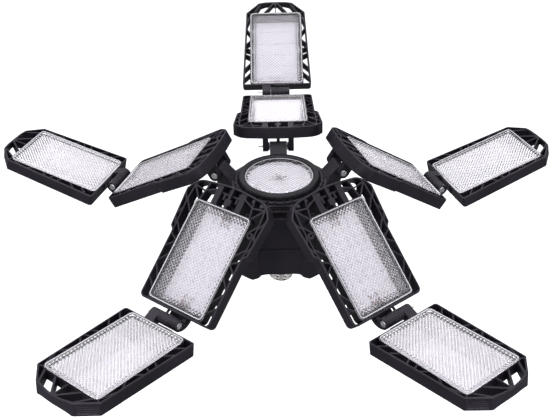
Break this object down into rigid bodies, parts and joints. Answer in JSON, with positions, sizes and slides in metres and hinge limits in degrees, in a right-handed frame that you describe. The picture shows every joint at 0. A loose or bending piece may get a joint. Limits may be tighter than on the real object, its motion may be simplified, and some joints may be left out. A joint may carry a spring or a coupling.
{
  "type": "deformable garage light",
  "caption": "Screw-in ceiling light: a round centre lamp with folding arms of hinged lens panels, each arm an inner and a pointed outer panel in an open-work frame.",
  "frame": {"origin": "on the lamp cap's axis, in the middle of the cap's plain collar", "axes": "+Z from the lamp cap to the centre lens, as in the picture; +Y towards the back arm. Screwed into a ceiling lamp holder the light is used turned over, with +Z pointing down."},
  "size_m": [0.5948, 0.5522, 0.2101],
  "materials": {
    "frame": "satin",
    "housing": "satin",
    "bezel": "gloss",
    "lens": "gloss",
    "led_board": "satin",
    "steel": "satin",
    "driver_board": "satin",
    "transformer": "matte",
    "capacitor": "satin",
    "chip": "matte",
    "cap_shell": "satin",
    "insulator": "gloss",
    "contact": "satin",
    "live_lead": "matte",
    "neutral_lead": "matte"
  },
  "bodies": {
    "hub": {"hub_housing": "housing", "rear_cover": "housing", "hub_bezel": "bezel", "hub_lens": "lens", "hub_led_board": "led_board", "led_board_screws": "steel", "housing_screws": "steel", "hub_hinge_screws": "steel", "hub_hinge_nuts": "steel", "driver_board": "driver_board", "driver_transformer": "transformer", "driver_capacitors": "capacitor", "driver_rectifier": "chip", "screw_shell": "cap_shell", "base_insulator": "insulator", "tip_contact": "contact", "live_lead": "live_lead", "neutral_lead": "neutral_lead"},
    "inner_back": {"inner_frame_back": "frame", "inner_lens_back": "lens", "inner_led_board_back": "led_board", "outer_hinge_screw_back": "steel", "outer_hinge_nut_back": "steel"},
    "outer_back": {"outer_frame_back": "frame", "outer_lens_back": "lens", "outer_led_board_back": "led_board"},
    "inner_left": {"inner_frame_left": "frame", "inner_lens_left": "lens", "inner_led_board_left": "led_board", "outer_hinge_screw_left": "steel", "outer_hinge_nut_left": "steel"},
    "outer_left": {"outer_frame_left": "frame", "outer_lens_left": "lens", "outer_led_board_left": "led_board"},
    "inner_front_left": {"inner_frame_front_left": "frame", "inner_lens_front_left": "lens", "inner_led_board_front_left": "led_board", "outer_hinge_screw_front_left": "steel", "outer_hinge_nut_front_left": "steel"},
    "outer_front_left": {"outer_frame_front_left": "frame", "outer_lens_front_left": "lens", "outer_led_board_front_left": "led_board"},
    "inner_front_right": {"inner_frame_front_right": "frame", "inner_lens_front_right": "lens", "inner_led_board_front_right": "led_board", "outer_hinge_screw_front_right": "steel", "outer_hinge_nut_front_right": "steel"},
    "outer_front_right": {"outer_frame_front_right": "frame", "outer_lens_front_right": "lens", "outer_led_board_front_right": "led_board"},
    "inner_right": {"inner_frame_right": "frame", "inner_lens_right": "lens", "inner_led_board_right": "led_board", "outer_hinge_screw_right": "steel", "outer_hinge_nut_right": "steel"},
    "outer_right": {"outer_frame_right": "frame", "outer_lens_right": "lens", "outer_led_board_right": "led_board"}
  },
  "joints": [
    {"name": "hub_hinge_back", "type": "hinge", "parent": "hub", "child": "inner_back", "pos_m": [0, 0.06284, 0.10284], "axis": [-1, 0, 0], "range_deg": [-9.8, 80.2]},
    {"name": "outer_hinge_back", "type": "hinge", "parent": "inner_back", "child": "outer_back", "pos_m": [0, 0.18814, 0.10655], "axis": [1, 0, 0], "range_deg": [-45.7, 44.3]},
    {"name": "hub_hinge_left", "type": "hinge", "parent": "hub", "child": "inner_left", "pos_m": [-0.05976, 0.01942, 0.10284], "axis": [-0.309, -0.9511, 0], "range_deg": [-27.6, 62.4]},
    {"name": "outer_hinge_left", "type": "hinge", "parent": "inner_left", "child": "outer_left", "pos_m": [-0.1743, 0.05663, 0.06807], "axis": [0.309, 0.9511, 0], "range_deg": [-42.7, 47.3]},
    {"name": "hub_hinge_front_left", "type": "hinge", "parent": "hub", "child": "inner_front_left", "pos_m": [-0.03694, -0.05084, 0.10284], "axis": [0.809, -0.5878, 0], "range_deg": [-39.9, 50.1]},
    {"name": "outer_hinge_front_left", "type": "hinge", "parent": "inner_front_left", "child": "outer_front_left", "pos_m": [-0.10175, -0.14004, 0.04321], "axis": [-0.809, 0.5878, 0], "range_deg": [-49.3, 40.7]},
    {"name": "hub_hinge_front_right", "type": "hinge", "parent": "hub", "child": "inner_front_right", "pos_m": [0.03694, -0.05084, 0.10284], "axis": [0.809, 0.5878, 0], "range_deg": [-42.2, 47.8]},
    {"name": "outer_hinge_front_right", "type": "hinge", "parent": "inner_front_right", "child": "outer_front_right", "pos_m": [0.10029, -0.13803, 0.03883], "axis": [-0.809, -0.5878, 0], "range_deg": [-51.4, 38.6]},
    {"name": "hub_hinge_right", "type": "hinge", "parent": "hub", "child": "inner_right", "pos_m": [0.05976, 0.01942, 0.10284], "axis": [-0.309, 0.9511, 0], "range_deg": [-33.3, 56.7]},
    {"name": "outer_hinge_right", "type": "hinge", "parent": "inner_right", "child": "outer_right", "pos_m": [0.17045, 0.05538, 0.05628], "axis": [0.309, -0.9511, 0], "range_deg": [-49.3, 40.7]}
  ]
}
